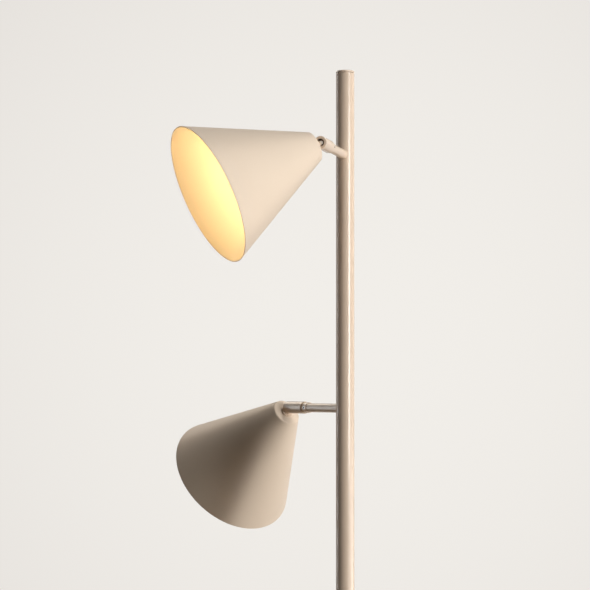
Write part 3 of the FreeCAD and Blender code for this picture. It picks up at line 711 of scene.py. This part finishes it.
@dataclass
class Head(SubAssembly):
    """One cone shade with its stud, lampholder and bulb."""

    members: Sequence[str] = (
        "ball_stud",
        "shade_washer",
        "shade_nut",
        "holder_cap",
        "holder_body",
        "holder_sleeve",
        "holder_contact",
        "bulb_tip",
        "bulb_cap",
        "bulb_shell",
        "bulb_globe",
        "head_lead",
    )
    shoulder_steps: int = 6
    lip_steps: int = 6

    def axle(self) -> Axle:
        """The shade's axis, from the tilt joint's place and its angle at rest."""
        line = self.swivel_axle()
        tilt = self.joint("tilt")
        rest_angle = math.radians(-tilt["range_deg"][0])
        turn = Matrix.Rotation(rest_angle, 3, Vector(tilt["axis"]))
        return Axle(line.origin, (turn @ line.along).normalized())

    def special_finishes(self) -> dict[str, Finish]:
        """The ball's bare steel, and the globe's light along its own axis."""
        axle = self.axle()
        stations = [station for station, _ in axle.measured(self.frame["nodes"][f"{self.prefix}bulb_globe"])]
        seam = axle.origin + axle.along * min(stations)
        depth = max(stations) - min(stations)
        globe = replace(Slot.bulb_diffuser.value, seam=seam, along=axle.along, depth=depth)
        return {
            "ball_stud": RubbedBall("stud_lacquer", **TUBE_LACQUER, pivot=axle.origin),
            "bulb_globe": globe,
        }

    def section(self, measured: Profile) -> Profile:
        """The shade's section with a rounded shoulder and a rounded lip.

        Args:
            measured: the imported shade's corners as (station, radius).

        Returns:
            The corners of the section, in order.
        """
        back = min(station for station, _ in measured)
        front = max(station for station, _ in measured)
        outer_rim = max(radius for _, radius in measured)
        inner_rim = min(radius for station, radius in measured if front - station < NEAR)
        hole = min(radius for _, radius in measured)
        floor = max(station for station, radius in measured if radius - hole < NEAR)
        face = max(radius for station, radius in measured if station - back < NEAR)
        inside = max(radius for station, radius in measured if abs(station - floor) < NEAR)
        shoulder = next(
            (station, radius)
            for station, radius in sorted(measured, key=lambda corner: corner[0])
            if station - back > NEAR and radius > face
        )
        lip = (outer_rim - inner_rim) / 2
        round_radius = shoulder[0] - back
        lip_centre = (front - lip, (outer_rim + inner_rim) / 2)
        return [
            (back, hole),
            *arc((back + round_radius, face), round_radius, 180, 100, self.shoulder_steps),
            shoulder,
            *arc(lip_centre, lip, 90, -90, self.lip_steps),
            (floor, inside),
            (floor, hole),
        ]

    def build_pieces(self) -> Iterable[str]:
        """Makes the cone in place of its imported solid.

        Returns:
            The new piece's name.
        """
        node = f"{self.prefix}shade"
        axle = self.axle()
        section = self.section(axle.measured(self.frame["nodes"][node]))
        yield self.stand_in(node, f"{self.prefix}head", TurnedPiece(f"{node}_cone", axle, section))


# ---------------------------------------------------------------- studio


@dataclass(frozen=True)
class Softbox:
    """One studio light that faces a point on the lamp."""

    name: str
    azimuth: float
    elevation: float
    distance: float
    width: float
    height: float
    power: float
    colour: Colour = (1.0, 1.0, 1.0)

    def place(self, target: Vector) -> None:
        """Hangs the light.

        Args:
            target: the point that it faces.
        """
        light = bpy.data.lights.new(self.name, "AREA")
        light.shape = "RECTANGLE"
        light.size = self.width
        light.size_y = self.height
        light.energy = self.power
        light.color = self.colour
        piece = bpy.data.objects.new(self.name, light)
        around, above = math.radians(self.azimuth), math.radians(self.elevation)
        level = math.cos(above)
        toward = Vector((math.sin(around) * level, -math.cos(around) * level, math.sin(above)))
        piece.location = target + toward * self.distance
        piece.rotation_euler = toward.to_track_quat("Z", "Y").to_euler()
        bpy.context.scene.collection.objects.link(piece)


@dataclass
class Studio:
    """The camera, lights, floor and pale surroundings. Azimuth 0 is the camera's side, 90 its right."""

    lens_mm: float = 117.21
    sensor_mm: float = 36.0
    camera_place: Vector = field(default_factory=lambda: Vector((-0.054575, -2.08589, 1.154918)))
    camera_pitch: float = 2.741
    camera_roll: float = 0.072
    target: Vector = field(default_factory=lambda: Vector((-0.05, 0.0, 1.25)))
    background_centre: Colour = (0.881, 0.855, 0.814)
    background_edge: Colour = (0.795, 0.764, 0.727)
    background_heading: Vector = field(default_factory=lambda: Vector((0.03, 1.0, 0.03)).normalized())
    background_spread: float = 0.25
    fill: Colour = (0.008, 0.004, 0.001)
    floor_radius: float = 3.0
    floor_colour: Colour = (0.82, 0.80, 0.77)
    floor_speckle: float = 0.02
    floor_grain: float = 40.0
    floor_bounce: Colour = (0.20, 0.12, 0.05)
    floor_plain: Sequence[tuple[float, Colour]] = ((0.05, (0.3, 0.3, 0.3)), (0.4, (1, 1, 1)))
    floor_end: Sequence[tuple[float, Colour]] = ((0.5, (1, 1, 1)), (1.0, (0, 0, 0)))
    softboxes: Sequence[Softbox] = (
        Softbox("key_high", 60, 55, 2.1, 0.7, 0.7, 20.0),
        Softbox("key_side", 53, 3, 1.8, 0.5, 0.7, 13.5),
        Softbox("low_side", 90, -22, 1.9, 1.0, 1.0, 16.0),
        Softbox("gloss_strip", 50, 0, 1.8, 0.13, 2.6, 9.6, (0.94, 0.98, 1.0)),
        Softbox("left_strip", -116, 0, 1.8, 0.12, 2.2, 6.0),
        Softbox("back_left", -152, 28, 2.2, 0.8, 0.8, 7.0, (1.0, 0.88, 0.74)),
    )

    def build(self) -> None:
        """Makes the whole studio."""
        self.build_camera()
        self.build_world()
        self.build_floor()
        for softbox in self.softboxes:
            softbox.place(self.target)
        bpy.context.scene.view_settings.view_transform = "Standard"

    def build_camera(self) -> None:
        """Sets the camera as it stood for the photograph."""
        data = bpy.data.cameras.new("camera")
        data.lens = self.lens_mm
        data.sensor_width = self.sensor_mm
        pitch, roll = math.radians(self.camera_pitch), math.radians(self.camera_roll)
        ahead = Vector((0, math.cos(pitch), math.sin(pitch)))
        up = Vector((0, -math.sin(pitch), math.cos(pitch)))
        right = Vector((1, 0, 0))
        rolled_right = right * math.cos(roll) + up * math.sin(roll)
        rolled_up = up * math.cos(roll) - right * math.sin(roll)
        turn = Matrix((rolled_right, rolled_up, -ahead)).transposed().to_4x4()
        camera = bpy.data.objects.new("camera", data)
        camera.matrix_world = Matrix.Translation(self.camera_place) @ turn
        bpy.context.scene.collection.objects.link(camera)
        bpy.context.scene.camera = camera

    def build_world(self) -> None:
        """Sets the dim warm fill, and the pale background that camera, gloss and glass see."""
        world = bpy.data.worlds.new("studio")
        world.use_nodes = True
        bpy.context.scene.world = world
        graph = Graph(world.node_tree)
        heading = graph.add("ShaderNodeTexCoord")["Generated"]
        inputs = {0: heading, 1: tuple(self.background_heading)}
        facing = graph.add("ShaderNodeVectorMath", {"operation": "DOT_PRODUCT"}, inputs)["Value"]
        away = (1.0 - facing) * (1 / (1 - math.cos(self.background_spread)))
        clamped = graph.add("ShaderNodeClamp", {}, {"Value": away})["Result"]
        pale = graph.blend(clamped, (*self.background_centre, 1), (*self.background_edge, 1))
        path = graph.add("ShaderNodeLightPath")
        seen = path["Is Camera Ray"].highest(path["Is Glossy Ray"]).highest(path["Is Transmission Ray"])
        dim = graph.add("ShaderNodeBackground", {}, {"Color": (*self.fill, 1), "Strength": 1.0})["Background"]
        bright = graph.add("ShaderNodeBackground", {}, {"Color": pale, "Strength": 1.0})["Background"]
        mixed = graph.add("ShaderNodeMixShader", {}, {0: seen, 1: dim, 2: bright})["Shader"]
        graph.add("ShaderNodeOutputWorld", {}, {"Surface": mixed})

    def build_floor(self) -> None:
        """Lays a round pale floor whose edge fades into the background."""
        mesh = bpy.data.meshes.new("floor")
        shape = bmesh.new()
        bmesh.ops.create_circle(shape, cap_ends=True, segments=96, radius=self.floor_radius)
        shape.to_mesh(mesh)
        shape.free()
        floor = bpy.data.objects.new("floor", mesh)
        bpy.context.scene.collection.objects.link(floor)
        material = bpy.data.materials.new("floor")
        material.use_nodes = True
        graph = Graph(material.node_tree)
        place = graph.add("ShaderNodeTexCoord")["Object"]
        reach = graph.add("ShaderNodeVectorMath", {"operation": "LENGTH"}, {0: place})["Value"]
        share = reach * (1 / self.floor_radius)
        solid = graph.add("ShaderNodeValToRGB", {"stops": self.floor_end}, {"Fac": share})["Color"]
        plain = graph.add("ShaderNodeValToRGB", {"stops": self.floor_plain}, {"Fac": share})["Color"]
        path = graph.add("ShaderNodeLightPath")
        seen = path["Is Camera Ray"].highest(path["Is Glossy Ray"]).highest(path["Is Transmission Ray"])
        dark_speck = tint(self.floor_colour, 1 - self.floor_speckle)
        pale_speck = tint(self.floor_colour, 1 + self.floor_speckle)
        speckled = graph.blend(graph.noise(self.floor_grain), dark_speck, pale_speck)
        inputs = {
            "Base Color": graph.blend(seen, (*self.floor_bounce, 1), speckled),
            "Roughness": 0.7,
            "Alpha": solid,
        }
        lit = graph.add("ShaderNodeBsdfPrincipled", {}, inputs)["BSDF"]
        glowing = {"Base Color": (0, 0, 0, 1), "Specular IOR Level": 0.0, "Alpha": solid}
        glowing |= {"Emission Color": (*self.background_edge, 1), "Emission Strength": 1.0}
        pale = graph.add("ShaderNodeBsdfPrincipled", {}, glowing)["BSDF"]
        mixed = graph.add("ShaderNodeMixShader", {}, {0: seen * plain, 1: lit, 2: pale})["Shader"]
        graph.add("ShaderNodeOutputMaterial", {}, {"Surface": mixed})
        mesh.materials.append(material)


# ---------------------------------------------------------------- the lamp


def main() -> None:
    """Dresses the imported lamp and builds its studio."""
    logging.basicConfig(level=logging.INFO, format="%(name)s: %(message)s")
    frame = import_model()
    palette = Palette()
    assemblies: list[SubAssembly] = [Foot(frame, palette), Pole(frame, palette)]
    for head in ("upper_", "lower_"):
        assemblies += [Arm(frame, palette, head), Knuckle(frame, palette, head), Head(frame, palette, head)]
    for assembly in assemblies:
        for name in (*assembly.dress(), *assembly.build_pieces()):
            log.info("%s %s", type(assembly).__name__, name)
    Studio().build()


if __name__ == "__main__":
    main()
